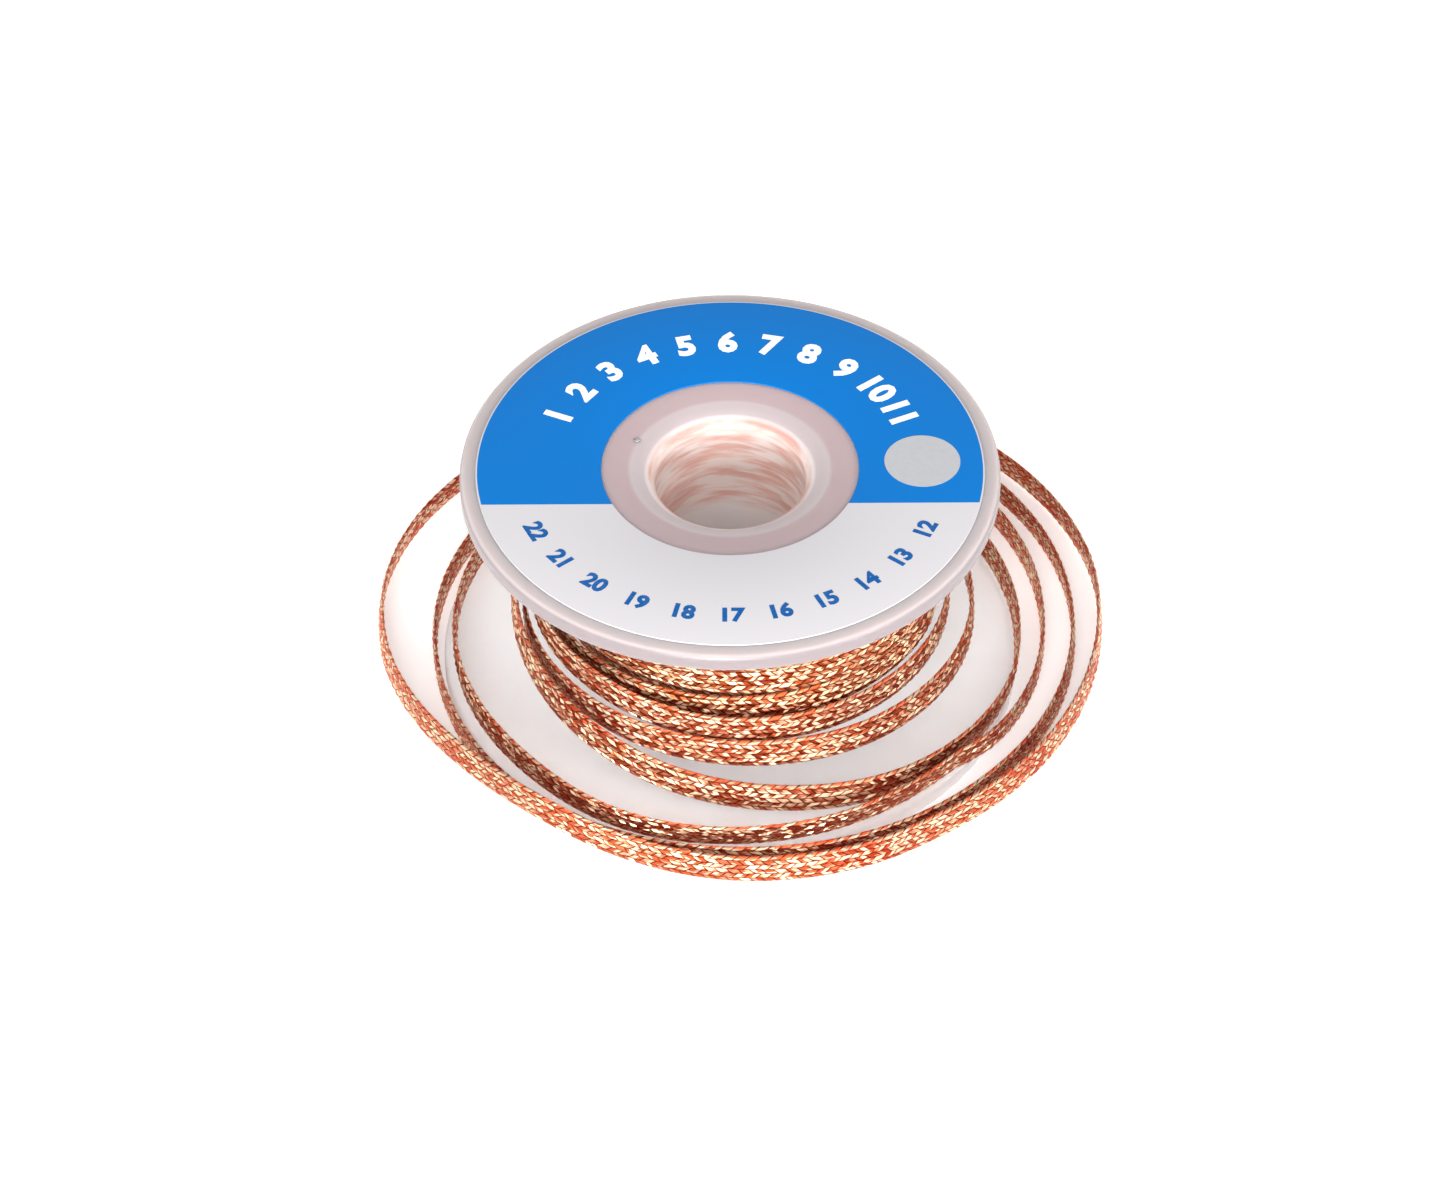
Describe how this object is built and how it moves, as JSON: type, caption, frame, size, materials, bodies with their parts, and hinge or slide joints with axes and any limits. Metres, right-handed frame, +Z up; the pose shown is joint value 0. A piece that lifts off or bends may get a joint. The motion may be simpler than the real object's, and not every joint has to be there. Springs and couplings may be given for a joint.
{
  "type": "desoldering braid spool",
  "caption": "Flat copper desoldering braid on a small translucent plastic spool with a ring label, its last turns sprung loose around the wide lower flange.",
  "frame": {"origin": "centre of the spool's underside, on the level that it stands on", "axes": "+Z up along the spool's axis, from the wide lower flange to the label; the picture looks along +Y"},
  "size_m": [0.0588, 0.0563, 0.0205],
  "materials": {
    "natural_plastic": "moulded, milky translucent, soft gloss",
    "printed_label": "printed film label, satin",
    "copper_braid": "woven fine bright copper wire"
  },
  "bodies": {
    "root": {"spool": "natural_plastic", "label": "printed_label", "braid_wound": "copper_braid", "braid_loose": "copper_braid"}
  },
  "joints": []
}
